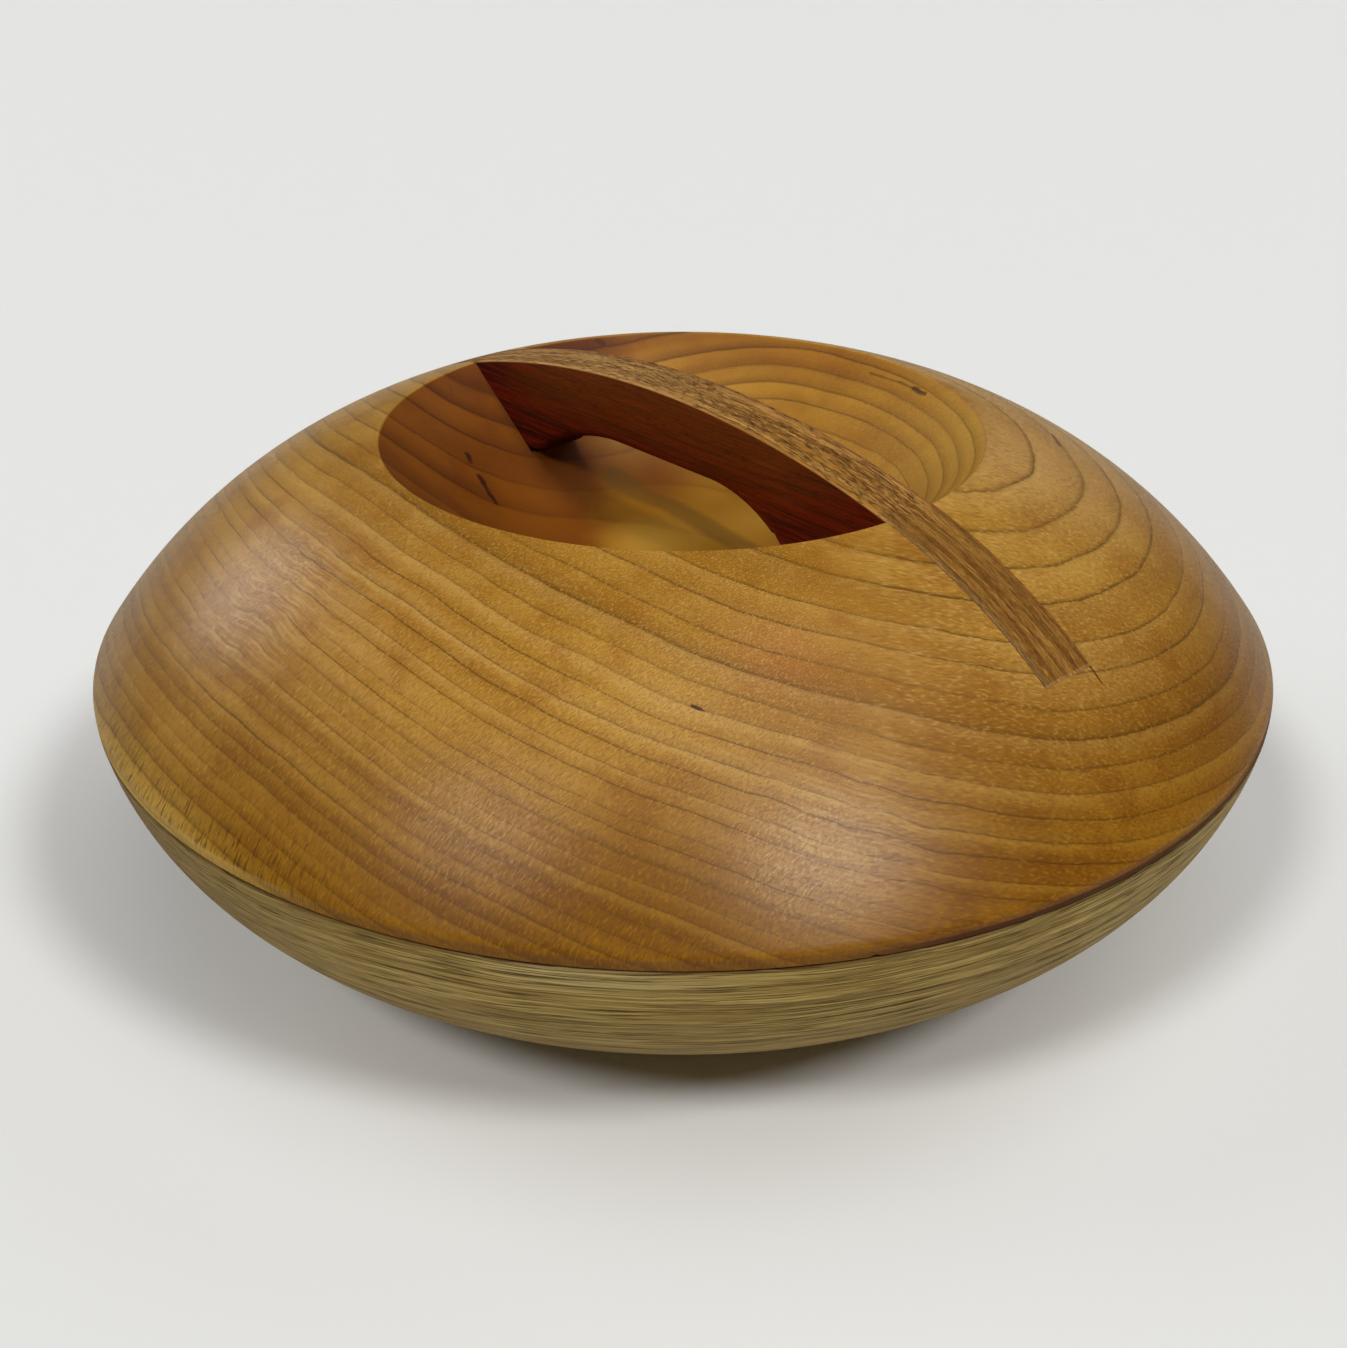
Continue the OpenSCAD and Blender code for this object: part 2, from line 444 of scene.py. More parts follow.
# The saw came in from outside, so that the floors of the slots rise a little towards the recess
slot_side = [(-bowl_r, slot_floor(bowl_r)), (0, slot_floor(0)), (bowl_r, slot_floor(bowl_r))]
slot_side += [(bowl_r, 2 * rim_z), (-bowl_r, 2 * rim_z)]
slots = drawn("slots", [Vector((x, -slot_half_w, z)) for x, z in slot_side])
bpy.ops.mesh.select_all(action="SELECT")
bpy.ops.mesh.edge_face_add()
bpy.ops.mesh.extrude_region_move(TRANSFORM_OT_translate={"value": (0, 2 * slot_half_w, 0)})
bpy.ops.mesh.select_all(action="SELECT")
bpy.ops.mesh.normals_make_consistent(inside=False)
bpy.ops.object.mode_set(mode="OBJECT")
cut_away(lid, slots)
# The saw ran on a little past the end of the near slot, on its right side
kerf_low = Vector((100, 6.0, 79.4)) * MM
kerf_high = Vector((104.8, 6.5, 101.5)) * MM
bpy.ops.object.select_all(action="DESELECT")
bpy.ops.mesh.primitive_cube_add(size=1, location=(kerf_low + kerf_high) / 2, scale=kerf_high - kerf_low)
cut_away(lid, bpy.context.object)
# A small chip is out of the lower edge, at the front
chip = Vector((110.3, -59.1, 55.1)) * MM
chip_turn = math.atan2(chip.y, chip.x)
bpy.ops.object.select_all(action="DESELECT")
bpy.ops.mesh.primitive_ico_sphere_add(subdivisions=3, radius=MM, location=chip, rotation=(0, 0, chip_turn),
                                      scale=(0.9, 1.25, 0.75))
cut_away(lid, bpy.context.object)
smoothed(lid)

# The years of the cherry lie in layers round a stem that leaned through the blank, so that their thin dark
# lines run aslant across the front, close in loops on the right shoulder and bend along the recess's wall.
stem = (-75.3, 22.9, 150.3)
stem_along = (-0.6975, -0.1335, -0.7041)
stem_side = (-0.188, 0.982, 0)
stem_front = (0.6915, 0.1324, -0.7101)
stem_taper = 0.922
first_layer = 60
last_layer = 230
year_count = 34
wavy_left = (-13, -93, 87)
wavy_right = (100, -53, 71)

cherry = Finish("oiled_cherry", lid)
from_stem = cherry.vector("SUBTRACT", cherry.place, stem)
up_stem = cherry.vector("DOT_PRODUCT", from_stem, stem_along)
off_stem = cherry.vector("LENGTH", cherry.vector("CROSS_PRODUCT", from_stem, stem_along))
to_side = cherry.along(GRAIN)
to_back = cherry.along(DEPTH)
lid_high = cherry.along((0, 0, 1))
from_axis = cherry.from_axis()
in_recess = cherry.between(from_axis, 62.9, 62.5)
# The layers wave everywhere, curl more in two places at the front, bend at a knee there, and lie wider or
# closer down the recess's wall
curl = cherry.maths("MULTIPLY", cherry.wander(0.09, 0.8),
                    cherry.maths("ADD", cherry.near(wavy_left, 34), cherry.near(wavy_right, 30)))
knee = cherry.maths("SUBTRACT", cherry.near((-9, -94, 86), 15), cherry.near((-27, -94, 85), 15))
below_rim = cherry.maths("MULTIPLY", in_recess, cherry.maths("SUBTRACT", rim_z / MM, lid_high))
wider = cherry.maths("MULTIPLY", below_rim, cherry.between(to_side, 0, -40))
closer = cherry.all_of(below_rim, cherry.between(from_axis, 36, 48), cherry.between(to_side, -25, 25))
layer = cherry.maths("MULTIPLY_ADD", up_stem, stem_taper, off_stem)
for bend, share in ((closer, 1.1), (wider, -0.25), (knee, 0.9)):
    layer = cherry.maths("MULTIPLY_ADD", bend, share, layer)
for push in (cherry.wander(0.02, 0.9), cherry.wander(0.1, 0.2), cherry.wander(0.45, 0.06, 2), curl):
    layer = cherry.maths("ADD", layer, push)

# Wide years near the stem, closer ones further out
years = cherry.add("FloatCurve", {"Value": cherry.between(layer, first_layer, last_layer, soft=False)})
years_line = years.mapping.curves[0]
years_line.points[0].location = (0, 0.012)
years_line.points[1].location = (1, 1)
for spot in ((0.1, 0.088), (0.36, 0.294), (0.45, 0.382), (0.7, 0.676), (0.85, 0.853)):
    years_line.points.new(*spot)
years.mapping.update()


def drift(number, scale):
    """A smooth number by chance, which changes as another number does."""
    inputs = {"W": number, "Scale": scale, "Detail": 1.0}
    return cherry.add("TexNoise", inputs, noise_dimensions="1D").outputs[0]


even_year = cherry.maths("MULTIPLY", years.outputs["Value"], year_count)
uneven = cherry.maths("MULTIPLY_ADD", drift(even_year, 0.8), 0.5, -0.25)
year = cherry.maths("ADD", even_year, uneven)
season = cherry.maths("FRACT", year)


def by_year(shift):
    """A number by chance for each year."""
    inputs = {"W": cherry.maths("FLOOR", cherry.maths("ADD", year, shift))}
    return cherry.add("TexWhiteNoise", inputs, noise_dimensions="1D").outputs[0]


# A thin dark line ends each year. It is fainter near the lower edge and in the recess, where the darker wood
# beside it is broad
near_edge = cherry.between(lid_high, 84, 62)
thin_line = cherry.maths("MAXIMUM", cherry.between(season, 0.88, 0.985, 0, 0.7),
                         cherry.between(season, 0.05, 0, 0, 0.7))
core_line = cherry.maths("MAXIMUM", cherry.between(season, 0.95, 0.985), cherry.between(season, 0.03, 0.0))
patchy = cherry.between(cherry.noise(cherry.place, 0.03, 2), 0.32, 0.6, 0.5, 1)
faintest = cherry.between(to_side, 5, 45, 0.38, 0.6)
dark_line = cherry.all_of(cherry.maths("MAXIMUM", thin_line, core_line),
                          cherry.between(by_year(0.5), 0.15, 0.85, faintest, 1, soft=False), patchy,
                          cherry.between(near_edge, 0, 1, 1, 0.7), cherry.between(in_recess, 0, 1, 1, 0.75))
broad_line = cherry.maths("MAXIMUM", cherry.between(season, 0.45, 0.96), cherry.between(season, 0.12, 0.0))
late_wood = cherry.all_of(broad_line,
                          cherry.maths("MAXIMUM", cherry.between(near_edge, 0, 1, 0.6, 0.9), in_recess),
                          cherry.between(to_side, 5, 45, 1, 0.5),
                          cherry.between(by_year(5.5), 0.1, 0.8, 0.35, 1))

# Rays cross the years as a fine hatch. On the right the fibres lie in the surface, and level streaks show
ray_r = 110
around = cherry.maths("ARCTAN2", cherry.vector("DOT_PRODUCT", from_stem, stem_side),
                      cherry.vector("DOT_PRODUCT", from_stem, stem_front))
down_layer = cherry.maths("MULTIPLY_ADD", off_stem, stem_taper, cherry.maths("MULTIPLY", up_stem, -1))
ray_place = cherry.joined(cherry.maths("MULTIPLY", around, ray_r), down_layer, layer)
rays = cherry.noise(cherry.vector("MULTIPLY", ray_place, (3.0, 3.0, 0.6)), 1, 1, 0.5)
fibre_place = cherry.joined(cherry.maths("MULTIPLY", to_side, 0.22), to_back, lid_high)
fibres = cherry.noise(cherry.vector("MULTIPLY", fibre_place, (1.2, 2.2, 2.5)), 1, 1, 0.5)
to_right = cherry.between(to_side, 12, 48)
hatch = cherry.maths("ADD", cherry.all_of(rays, cherry.maths("SUBTRACT", 1, to_right)),
                     cherry.all_of(fibres, to_right))

cloud = cherry.noise(cherry.place, 0.026, 3, 0.55)
body = cherry.mixed(cherry.between(cloud, 0.33, 0.68), tint(160, 108, 24), tint(184, 134, 46))


def laid_over(amount, red, green, blue):
    """The cherry's colour so far, with an amount of another laid over it."""
    return cherry.mixed(amount, body, tint(red, green, blue))


# Some years are lighter or darker than the next, and each is palest just after its line
tone = cherry.maths("ADD", drift(year, 0.55), cherry.wander(0.035, 0.06))
body = laid_over(cherry.between(tone, 0.48, 0.75, 0, 0.5), 200, 152, 72)
body = laid_over(cherry.between(tone, 0.5, 0.28, 0, 0.45), 140, 90, 16)
early_wood = cherry.all_of(cherry.between(season, 0.75, 0.05), cherry.between(by_year(3), 0.25, 0.9),
                           cherry.between(near_edge, 0, 1, 0.35, 0.6))
body = laid_over(early_wood, 204, 160, 84)
blotch = cherry.noise(cherry.place, 0.085, 2, 0.6)
body = laid_over(cherry.between(blotch, 0.5, 0.72, 0, 0.5), 150, 92, 14)
body = laid_over(cherry.between(blotch, 0.46, 0.3, 0, 0.35), 192, 146, 66)
# The outermost layers are pale sapwood, and a reddish spot lies on the front
body = laid_over(cherry.between(layer, 150, 205, 0, 0.35), 174, 132, 46)
body = laid_over(cherry.between(layer, 204, 220, 0, 0.8), 212, 176, 88)
body = laid_over(cherry.all_of(cherry.near((73, -45, 92), 14), 0.25), 190, 104, 56)
# The shoulder on the right is paler, where the heart of the stem lay close under it
body = laid_over(cherry.all_of(cherry.near((56, 48, 97), 40), 0.55), 212, 168, 106)
body = laid_over(cherry.all_of(in_recess, cherry.between(to_side, 34, 60), 0.35), 208, 164, 78)
# The dark lines, the hatch, and where the layers curl a wavy figure with pale streaks of painted sheen
body = laid_over(cherry.maths("MULTIPLY", late_wood, cherry.between(in_recess, 0, 1, 0.5, 0.7)), 122, 80, 12)
body = laid_over(cherry.maths("MULTIPLY", dark_line, 0.92), 90, 58, 6)
fleck = cherry.between(in_recess, 0, 1, 1, 0.45)
body = laid_over(cherry.all_of(cherry.between(hatch, 0.5, 0.3), fleck, 0.36), 112, 70, 12)
body = laid_over(cherry.all_of(cherry.between(hatch, 0.52, 0.72), fleck, 0.3), 228, 184, 108)
# Where the layers curl, the pale wavy streaks are painted sheen of the lit fibres, and the dark ones are
# their figure
silk = cherry.noise(cherry.vector("MULTIPLY", ray_place, (0.1, 0.1, 1.5)), 1, 2, 0.6)
figure_and_sheen = cherry.maths("ADD", cherry.near(wavy_left, 32), cherry.near(wavy_right, 30))
body = laid_over(cherry.all_of(figure_and_sheen, cherry.between(silk, 0.48, 0.66), 0.34), 222, 182, 116)
body = laid_over(cherry.all_of(figure_and_sheen, cherry.between(silk, 0.48, 0.34), 0.24), 124, 80, 20)
# Short dark ticks stand in the pale sapwood, upright on the seam
turn_round = cherry.maths("ARCTAN2", cherry.along((0, 1, 0)), cherry.along((1, 0, 0)))
round_edge = cherry.maths("MULTIPLY", turn_round, bowl_r / MM)
tick_place = cherry.joined(cherry.maths("MULTIPLY", round_edge, 2.2),
                           cherry.maths("MULTIPLY", lid_high, 0.32))
ticks = cherry.all_of(cherry.between(cherry.noise(tick_place, 1, 1), 0.45, 0.34),
                      cherry.between(to_side, -45, -75), cherry.between(lid_high, 68, 60), 0.7)
body = laid_over(ticks, 92, 62, 16)
# The floor of the recess is lighter, and two soft pale patches on it are painted highlight
body = laid_over(cherry.all_of(cherry.between(from_axis, 48, 30), 0.45), 208, 152, 52)
body = laid_over(cherry.all_of(cherry.near((-4, -4, 75.5), 17), 0.6), 228, 188, 116)
body = laid_over(cherry.all_of(cherry.near((4, 18, 75.5), 13), 0.5), 228, 182, 104)

# Painted shade: the lid darkens towards its lower edge and on its far left, and the recess is darker and
# deeper in colour, most on its left, where the end grain also took more oil. Near the far rim of the recess
# the wood is darker
low_painted_shade = cherry.all_of(cherry.between(lid_high, 92, 60), cherry.between(to_side, -100, -75, 0.35, 1))
soaked_and_shaded_to = cherry.maths("ADD", to_side, cherry.wander(0.06, 2.5, 2))
soaked_and_shaded = cherry.maths("MULTIPLY", in_recess, cherry.between(soaked_and_shaded_to, -9, -24))
far_rim = cherry.all_of(in_recess, cherry.between(to_back, 10, 45), cherry.between(lid_high, 94, 99))
body = cherry.stained(low_painted_shade, body, tint(200, 182, 100))
body = cherry.stained(cherry.between(to_side, -80, -110), body, tint(236, 230, 204))
body = cherry.stained(cherry.maths("MULTIPLY", in_recess, 0.7), body, tint(255, 246, 140))
body = cherry.stained(soaked_and_shaded, body, tint(184, 146, 16))
# A painted shadow of the handle's left end on the floor of the recess
body = cherry.stained(cherry.near((-27, 16, 78), 16), body, tint(206, 170, 60))
body = cherry.stained(far_rim, body, tint(226, 206, 160))


def dash(first, last, width, ragged=0.25):
    """One along a short mark from one point to another, fading to nothing at its edges."""
    first, last = Vector(first), Vector(last)
    run = last - first
    share = cherry.between(cherry.vector("DOT_PRODUCT", cherry.vector("SUBTRACT", cherry.place, first), run),
                           0, run.length_squared, soft=False)
    nearest = cherry.vector("ADD", cherry.scaled(run, share), first)
    away = cherry.vector("DISTANCE", cherry.place, nearest)
    away = cherry.maths("ADD", away, cherry.wander(0.5, ragged * width))
    return cherry.between(away, 0.35 * width, width, 1, 0)


# One broad olive band runs across the floor of the recess, and at its left end, under the arch, it is also a
# painted shadow of the handle
olive_band_and_shadow = cherry.maths("MAXIMUM", dash((-32, 8.6, 77.8), (-15, 10.9, 75.5), 4.5, 0.03),
                     dash((-15, 10.9, 75.5), (18, 6, 75.5), 4.5, 0.03))
body = laid_over(cherry.maths("MULTIPLY", olive_band_and_shadow, 0.7), 104, 72, 20)
# Dark gum fills a few short cracks
for first, last, width, strength in (
        ((70.3, -62.6, 87.2), (72.1, -61.6, 86.5), 0.4, 0.9),
        ((-41.8, -24.6, 89.6), (-40.5, -25.3, 88.7), 1.2, 0.95),
        ((-36.6, -26.0, 86.4), (-30.1, -26.7, 82.4), 1.1, 0.95),
        ((-58.3, -16.9, 99.5), (-41.8, -24.6, 89.6), 0.3, 0.3),
        ((-1.1, 59.7, 98.6), (8.2, 59.3, 98.85), 0.45, 0.5),
        ((8.2, 59.3, 98.85), (17.4, 57.6, 99.1), 0.45, 0.5),
        ((13.2, 58.4, 98.9), (17.5, 57.4, 98.6), 0.8, 0.75),
        ((-56.8, 25.2, 100.6), (-55.6, 26.0, 100.3), 1.0, 0.6),
        ((45.5, 67.0, 94.6), (51.0, 62.2, 94.9), 0.6, 0.7)):
    body = laid_over(cherry.all_of(dash(first, last, width), strength), 56, 20, 4)
# The straight edge above the seam has painted light and shade: it is pale on the left, where it is sapwood
# and lit, and darker on the front and right, darkest in a low band on the right, where it lies in shade
low_edge = cherry.between(lid_high, 57.8, 57.2)
body = laid_over(cherry.all_of(low_edge, cherry.between(to_side, -60, -85), 0.35), 220, 182, 98)
body = laid_over(cherry.all_of(low_edge, cherry.between(to_side, -70, -40), 0.35), 96, 56, 12)
right_edge_shade = cherry.all_of(cherry.between(lid_high, 56.8, 56.3), cherry.between(to_side, 15, 50))
body = laid_over(cherry.maths("MULTIPLY", right_edge_shade, 0.9), 66, 28, 4)
cherry_dull = cherry.maths("MAXIMUM", cherry.maths("MULTIPLY", in_recess, 0.6), low_edge)
cherry_rough = cherry.between(cherry_dull, 0, 1, cherry.between(hatch, 0.3, 0.7, 0.36, 0.26), 0.75)
cherry_relief = cherry.maths("MULTIPLY_ADD", dark_line, -0.5, hatch)
cherry.finish(body, cherry_rough, cherry_relief, depth=0.02, gloss=0.4)

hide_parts("lid")
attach(lid, "lid")


# The handle is one straight bar of dark red-brown hardwood with open pores, let into the two slots of the lid
# and glued. Its top was turned down with the dome, and its underside is arched for the fingers.

handle_half_w = 6.4 * MM
handle_rise = 9 * MM
arch_z = 95 * MM
arch_half_flat = 14 * MM
arch_r = 30 * MM
arch_half = 43 * MM
arch_left = 1.19
arch_ease = 2.2 * MM
arch_edge_half = 48.5 * MM
foot_round = 8 * MM
foot_turn = 11
top_ease = 0.5 * MM
top_edge_half = 62.6 * MM
ROWS = 8

handle_top_z = rim_z + handle_rise
cap_r = (rim_r ** 2 + handle_rise ** 2) / (2 * handle_rise)
cap_c = Vector((0, handle_top_z - cap_r))
cap_side = angle_of(cap_c, opening)
arch_foot = math.degrees(math.asin((slot_floor(slot_start) - arch_z + arch_r) / arch_r))

right_half = [Vector((arch_half_flat * k / 5, arch_z)) for k in range(5)]
right_half += arc(Vector((arch_half_flat, arch_z - arch_r)), arch_r, 90, arch_foot + foot_turn, steps=18)
right_half += eased(Vector((slot_start, slot_floor(slot_start))), dome_tangent(arch_foot),
                    (slot_end - slot_start, -slot_rise), foot_round, steps=8)
right_half += [Vector((x * MM, slot_floor(x * MM))) for x in (48, 62.5, 80)]
right_half += arc(dome_c, dome_r, angle_of(dome_c, Vector((slot_end, slot_z))), rim_angle, steps=24)
right_half += arc(cap_c, cap_r, cap_side + 0.15, 90, steps=48)
left_half = [Vector((-p.x, p.y)) for p in right_half[1:-1]]
# The arch was sawn by hand, and runs out a little further on the left
for p in left_half:
    if -arch_half < p.x < -arch_half_flat and p.y < arch_z:
        p.x = (p.x + arch_half_flat) * arch_left - arch_half_flat
handle_outline = right_half + left_half[::-1]
handle = drawn("mahogany_handle", [Vector((x, -handle_half_w, z)) for x, z in handle_outline])


def pick(piece, test, kind="VERT"):
    """Selects, in the piece being edited, each vertex that passes the test, or each edge whose ends do."""
    bpy.ops.mesh.select_mode(type=kind)
    bpy.ops.mesh.select_all(action="DESELECT")
    mesh = bmesh.from_edit_mesh(piece.data)
    for part in mesh.verts if kind == "VERT" else mesh.edges:
        if test(part.co) if kind == "VERT" else all(test(v.co) for v in part.verts):
            part.select_set(True)
    mesh.select_flush_mode()
    bmesh.update_edit_mesh(piece.data)


def on_top(co):
    """Whether a point lies on the turned top, above the slots' floors and the arch."""
    return co.z > slot_floor(abs(co.x)) + 0.01 * MM and (abs(co.x) > rim_r or co.z > arch_z + MM)


def on_side(co):
    """Whether a point lies on one of the two flat sides."""
    return abs(abs(co.y) - handle_half_w) < 1e-6


bpy.ops.mesh.select_all(action="SELECT")
bpy.ops.mesh.edge_face_add()
for row in range(ROWS):
    bpy.ops.mesh.extrude_region_move(TRANSFORM_OT_translate={"value": (0, 2 * handle_half_w / ROWS, 0)})
bpy.ops.mesh.select_all(action="SELECT")
bpy.ops.mesh.normals_make_consistent(inside=False)
# The top follows the round of the turned cap and dome, so that it lies flush where it crosses the lid
pick(handle, on_top)
bpy.ops.object.vertex_group_add()
bpy.ops.object.vertex_group_assign()
bpy.ops.object.mode_set(mode="OBJECT")
top_group = handle.vertex_groups[-1].name
round_outline = arc(dome_c, dome_r, 40, rim_angle, steps=60)
round_outline += arc(cap_c, cap_r, cap_side + 0.02, 90, steps=60)
round_top = turned("round_top", round_outline)
shaped(handle, "SHRINKWRAP", round_top, target=round_top, wrap_method="PROJECT", vertex_group=top_group,
       use_project_z=True, use_positive_direction=True, use_negative_direction=True)
active(handle)
bpy.ops.object.vertex_group_remove(all=True)
bpy.ops.object.mode_set(mode="EDIT")
# The edges of the free top are eased, and those of the arch are rounded more, for the fingers
pick(handle, lambda co: on_side(co) and abs(co.x) < top_edge_half and co.z > arch_z + 3 * MM, "EDGE")
bpy.ops.mesh.bevel(offset=top_ease, segments=4, affect="EDGES")
pick(handle, lambda co: on_side(co) and abs(co.x) < arch_edge_half and co.z < arch_z + 1e-6, "EDGE")
bpy.ops.mesh.bevel(offset=arch_ease, segments=5, affect="EDGES")
# Faces with many corners are split into triangles, and those with no area are taken out
bpy.ops.mesh.select_all(action="SELECT")
bpy.ops.mesh.quads_convert_to_tris(quad_method="BEAUTY", ngon_method="BEAUTY")
bpy.ops.mesh.dissolve_degenerate(threshold=0.001 * MM)
bpy.ops.object.mode_set(mode="OBJECT")
smoothed(handle)

# The wood is straight in the grain. On the turned top its pores are cut open as dark dashes, and the sides,
# which were planed and oiled, are deeper in colour. The top's paler tan is partly a painted sheen of the
# light from above.
mahogany = Finish("oiled_mahogany", handle)
bar_along = mahogany.along((1, 0, 0))
bar_over = mahogany.along((0, 1, 0))
bar_z = mahogany.along((0, 0, 1))
bar_out = mahogany.maths("ABSOLUTE", bar_along)
bar_up = mahogany.between(mahogany.facing_up(), 0.2, 0.7)
bar_flush = mahogany.between(bar_out, 58, 70)
bar_grain = mahogany.joined(1, 1, mahogany.between(bar_up, 0, 1, 1, 0.1))
bar_place = mahogany.vector("MULTIPLY", mahogany.place, bar_grain)


def bar_dashes(length, thickness, detail=2.0):
    """A pattern of dashes along the bar, of about a length and a thickness."""
    spot = mahogany.vector("MULTIPLY", bar_place, (1 / length, 1 / thickness, 1 / thickness))
    return mahogany.noise(spot, 1, detail, 0.6)


bar_pores = bar_dashes(2.4, 0.16)
bar_dots = bar_dashes(1.8, 0.12)
bar_fine = bar_dashes(12, 0.12)
bar_streaks = bar_dashes(46, 1.0, 3)
bar_clumps = bar_dashes(18, 2.0)
bar_high = mahogany.all_of(mahogany.between(bar_z, 90, 106), mahogany.between(bar_out, 62, 30))
bar_side = mahogany.mixed(mahogany.between(bar_streaks, 0.36, 0.64), tint(48, 0, 0), tint(112, 18, 0))
bar_side = mahogany.mixed(mahogany.maths("MULTIPLY", bar_high, 0.6), bar_side, tint(132, 70, 14))
# Painted light and shade on the arch: its rounded edge is redder with painted light thrown up from the
# recess, and its underside and feet are dark with painted shade
arch_out = mahogany.maths("MAXIMUM", mahogany.maths("SUBTRACT", bar_out, arch_half_flat / MM), 0)
arch_out = mahogany.maths("MULTIPLY", arch_out, mahogany.between(bar_along, -1, 1, 1 / arch_left, 1))
arch_over = mahogany.maths("SUBTRACT", bar_z, (arch_z - arch_r) / MM)
arch_away = mahogany.vector("LENGTH", mahogany.joined(arch_out, arch_over))
arch_gap = mahogany.maths("SUBTRACT", arch_away, arch_r / MM)
bar_lip_bounce_light = mahogany.all_of(mahogany.between(arch_gap, 3.6, 1.8), mahogany.between(bar_along, -31, -20))
bar_feet_shadow = mahogany.maths("MAXIMUM", mahogany.near((-43, 0, 85), 9), mahogany.near((39, 0, 85), 9))
bar_side = mahogany.mixed(mahogany.maths("MULTIPLY", bar_lip_bounce_light, 0.55), bar_side, tint(118, 36, 10))
bar_side = mahogany.mixed(mahogany.between(arch_gap, 0.7, 0.1, 0, 0.9), bar_side, tint(26, 4, 1))
bar_side = mahogany.mixed(mahogany.between(bar_feet_shadow, 0.1, 0.5, 0, 0.95), bar_side, tint(8, 0, 0))
# The top is pale and tan, partly as a painted sheen of the light from above, duller towards its far edge, and
# darker where it lies flush in the lid
bar_top = mahogany.mixed(mahogany.between(bar_streaks, 0.36, 0.64), tint(174, 120, 50), tint(214, 160, 80))
bar_top = mahogany.mixed(mahogany.between(bar_along, 40, -20, 0, 0.5), bar_top, tint(208, 162, 102))
bar_top = mahogany.mixed(mahogany.between(bar_over, 2.5, 6, 0, 0.5), bar_top, tint(172, 112, 66))
bar_in_lid = mahogany.mixed(mahogany.between(bar_streaks, 0.4, 0.6), tint(126, 80, 20), tint(174, 122, 44))
bar_top = mahogany.mixed(mahogany.maths("MULTIPLY", bar_flush, 0.75), bar_top, bar_in_lid)
bar_strip = mahogany.all_of(bar_flush, mahogany.between(bar_over, -4.9, -5.3))
bar_top = mahogany.mixed(mahogany.maths("MULTIPLY", bar_strip, 0.7), bar_top, tint(158, 122, 72))
bar_colour = mahogany.mixed(bar_up, bar_side, bar_top)
# Pores: long dashes in clumps along the middle of the top, short ones where the dome cuts across them
bar_level = mahogany.all_of(mahogany.between(bar_clumps, 0.35, 0.6, 0.4, 0.5),
                            mahogany.between(bar_over, -6.2, -5.4, 0.8, 1))
bar_long = mahogany.between(mahogany.maths("SUBTRACT", bar_pores, bar_level), 0.05, -0.05)
bar_long = mahogany.all_of(bar_long, mahogany.between(bar_flush, 0, 1, 1, 0.5))
bar_short = mahogany.all_of(mahogany.between(bar_dots, 0.46, 0.36), bar_flush, 0.4)
bar_open = mahogany.maths("MAXIMUM", bar_long, bar_short)
bar_dark = mahogany.maths("MULTIPLY", bar_open, mahogany.between(bar_up, 0, 1, 0.4, 0.85))
bar_colour = mahogany.mixed(bar_dark, bar_colour, tint(70, 36, 12))
# Fine threads run along the whole bar, and its sawn ends are paler
bar_threads = mahogany.all_of(mahogany.between(bar_fine, 0.52, 0.7),
                              mahogany.between(bar_up, 0, 1, 0.4, 0.15))
bar_colour = mahogany.mixed(bar_threads, bar_colour, tint(146, 72, 26))
bar_fineness = mahogany.between(bar_flush, 0, 1, 0.4, 0.6)
bar_threads = mahogany.maths("MULTIPLY", mahogany.between(bar_fine, 0.6, 0.36), bar_fineness)
bar_colour = mahogany.mixed(bar_threads, bar_colour, tint(64, 26, 6))
bar_specks = mahogany.between(bar_dots, 0.52, 0.7, 0, mahogany.maths("MULTIPLY", bar_flush, 0.4))
bar_colour = mahogany.mixed(bar_specks, bar_colour, tint(174, 128, 60))
bar_end = mahogany.between(bar_out, 100.9, 101.05, 0, 0.3)
bar_colour = mahogany.mixed(bar_end, bar_colour, tint(188, 148, 96))
bar_rough = mahogany.between(bar_up, 0, 1, 0.65, 0.5)
bar_relief = mahogany.maths("MULTIPLY", bar_open, -1)
mahogany.finish(bar_colour, bar_rough, bar_relief, depth=0.1, gloss=0.12)

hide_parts("handle")
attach(handle, "lid")


# The bowl stands on a wide sheet of plain pale paper, in the soft light of a few large lamps, and is seen
# from above and in front, with the handle running from the back on the left to the front on the right.

bpy.ops.object.select_all(action="DESELECT")
bpy.ops.mesh.primitive_plane_add(size=12)
paper = bpy.context.object
paper.name = paper.data.name = "paper"
pale = Finish("pale_paper", paper)
paper_seen = pale.add("LightPath").outputs["Is Camera Ray"]
paper_colour = pale.mixed(paper_seen, tint(202, 197, 184), tint(243, 243, 241))
pale.tree.links.new(paper_colour, pale.shader.inputs["Base Color"])
pale.shader.inputs["Roughness"].default_value = 0.9
pale.shader.inputs["Specular IOR Level"].default_value = 0.2


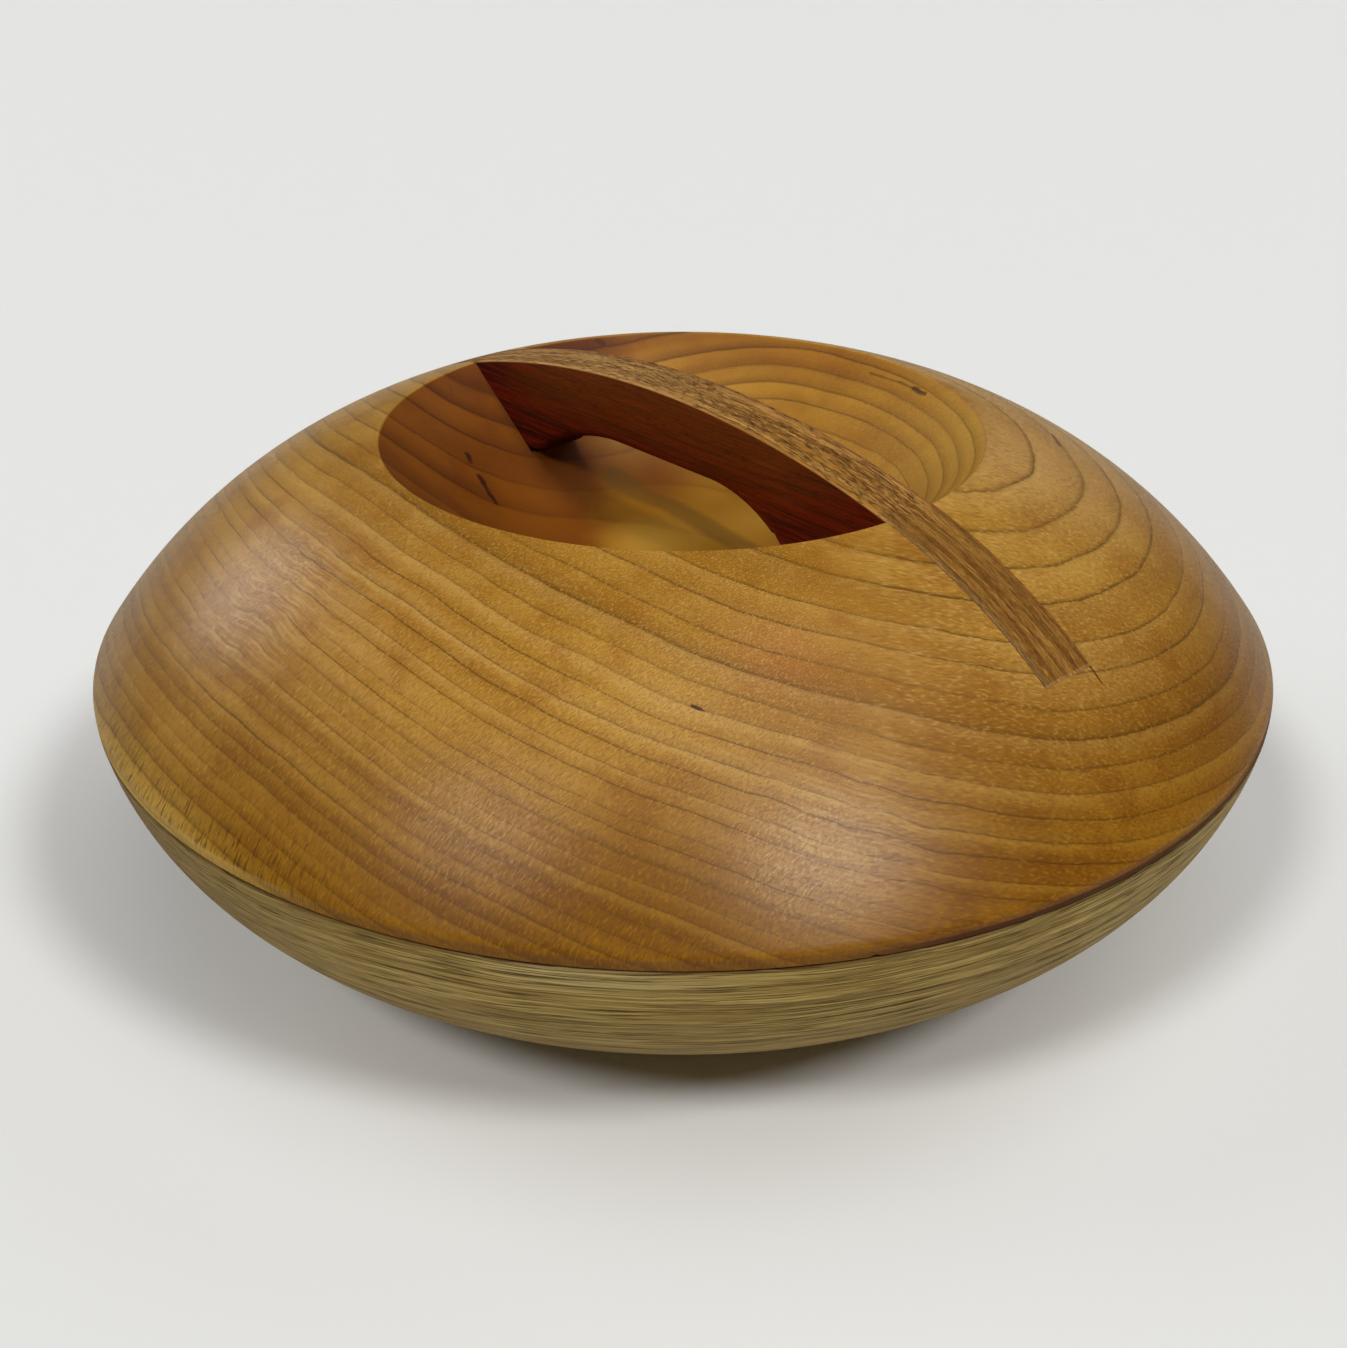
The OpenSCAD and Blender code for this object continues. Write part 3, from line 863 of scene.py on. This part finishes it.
def far_lamp(name, turn, lift, spread, level, shine, colour=(1, 1, 1)):
    """A soft lamp far away, at a turn to the right from behind the bowl, a lift and a spread in degrees.
    It gives either light or shine, so that the broad fill leaves no haze on the oiled wood."""
    data = bpy.data.lights.new(name, "SUN")
    data.angle = math.radians(spread)
    data.energy = level * math.pi
    data.color = colour
    made = bpy.data.objects.new(name, data)
    made.visible_glossy = shine
    made.visible_diffuse = not shine
    bpy.context.scene.collection.objects.link(made)
    way, lift = math.radians(turn), math.radians(lift)
    level_way = math.cos(way) * DEPTH + math.sin(way) * GRAIN
    towards = math.cos(lift) * level_way + Vector((0, 0, math.sin(lift)))
    made.rotation_euler = (-towards).to_track_quat("-Z", "Y").to_euler()


far_lamp("front_left_light", -145, 48, 12, 0.34, False)
far_lamp("front_right_light", 135, 48, 13, 0.38, False)
far_lamp("top_light", 150, 74, 40, 0.16, False)
far_lamp("left_light", -75, 36, 40, 0.14, False)
far_lamp("right_light", 55, 40, 40, 0.1, False)
far_lamp("front_left_shine", -131, 49, 24, 0.14, True)
far_lamp("front_right_shine", 146, 48, 24, 0.41, True, (1, 0.9, 0.75))
far_lamp("back_left_shine", -49, 23, 20, 0.09, True)
far_lamp("top_shine", 120, 74, 40, 0.1, True)

# The air is bright where the camera sees it, and gives the bowl only a little light
air_light = 0.06
air_seen = 0.93
room = bpy.context.scene.world or bpy.data.worlds.new("room")
bpy.context.scene.world = room
room.use_nodes = True
air = room.node_tree.nodes["Background"]
air.inputs["Color"].default_value = tint(234, 234, 232)
seen_by = room.node_tree.nodes.new("ShaderNodeLightPath")
air_level = room.node_tree.nodes.new("ShaderNodeMapRange")
air_level.inputs["To Min"].default_value = air_light
air_level.inputs["To Max"].default_value = air_seen
room.node_tree.links.new(seen_by.outputs["Is Camera Ray"], air_level.inputs["Value"])
room.node_tree.links.new(air_level.outputs[0], air.inputs["Strength"])

# The camera stands before the bowl and looks down on it. Its lens is given in dots of the picture
camera_back = 0.36445
camera_up = 0.23852
pitch = math.radians(28.25)
yaw = math.radians(0.304)
roll = math.radians(-0.239)
film_w = 36
picture_w = 1347
lens_dots = 1850
camera = bpy.data.objects.new("camera", bpy.data.cameras.new("camera"))
bpy.context.scene.collection.objects.link(camera)
camera.data.sensor_fit = "HORIZONTAL"
camera.data.sensor_width = film_w
camera.data.lens = film_w * lens_dots / picture_w
camera.data.clip_start = 0.01
camera.location = -camera_back * DEPTH + Vector((0, 0, camera_up))
camera.rotation_euler = (Euler((math.pi / 2 - pitch, 0, seen_turn + yaw)).to_matrix()
                         @ Matrix.Rotation(roll, 3, "Z")).to_euler()
bpy.context.scene.camera = camera
bpy.context.scene.view_settings.view_transform = "Standard"
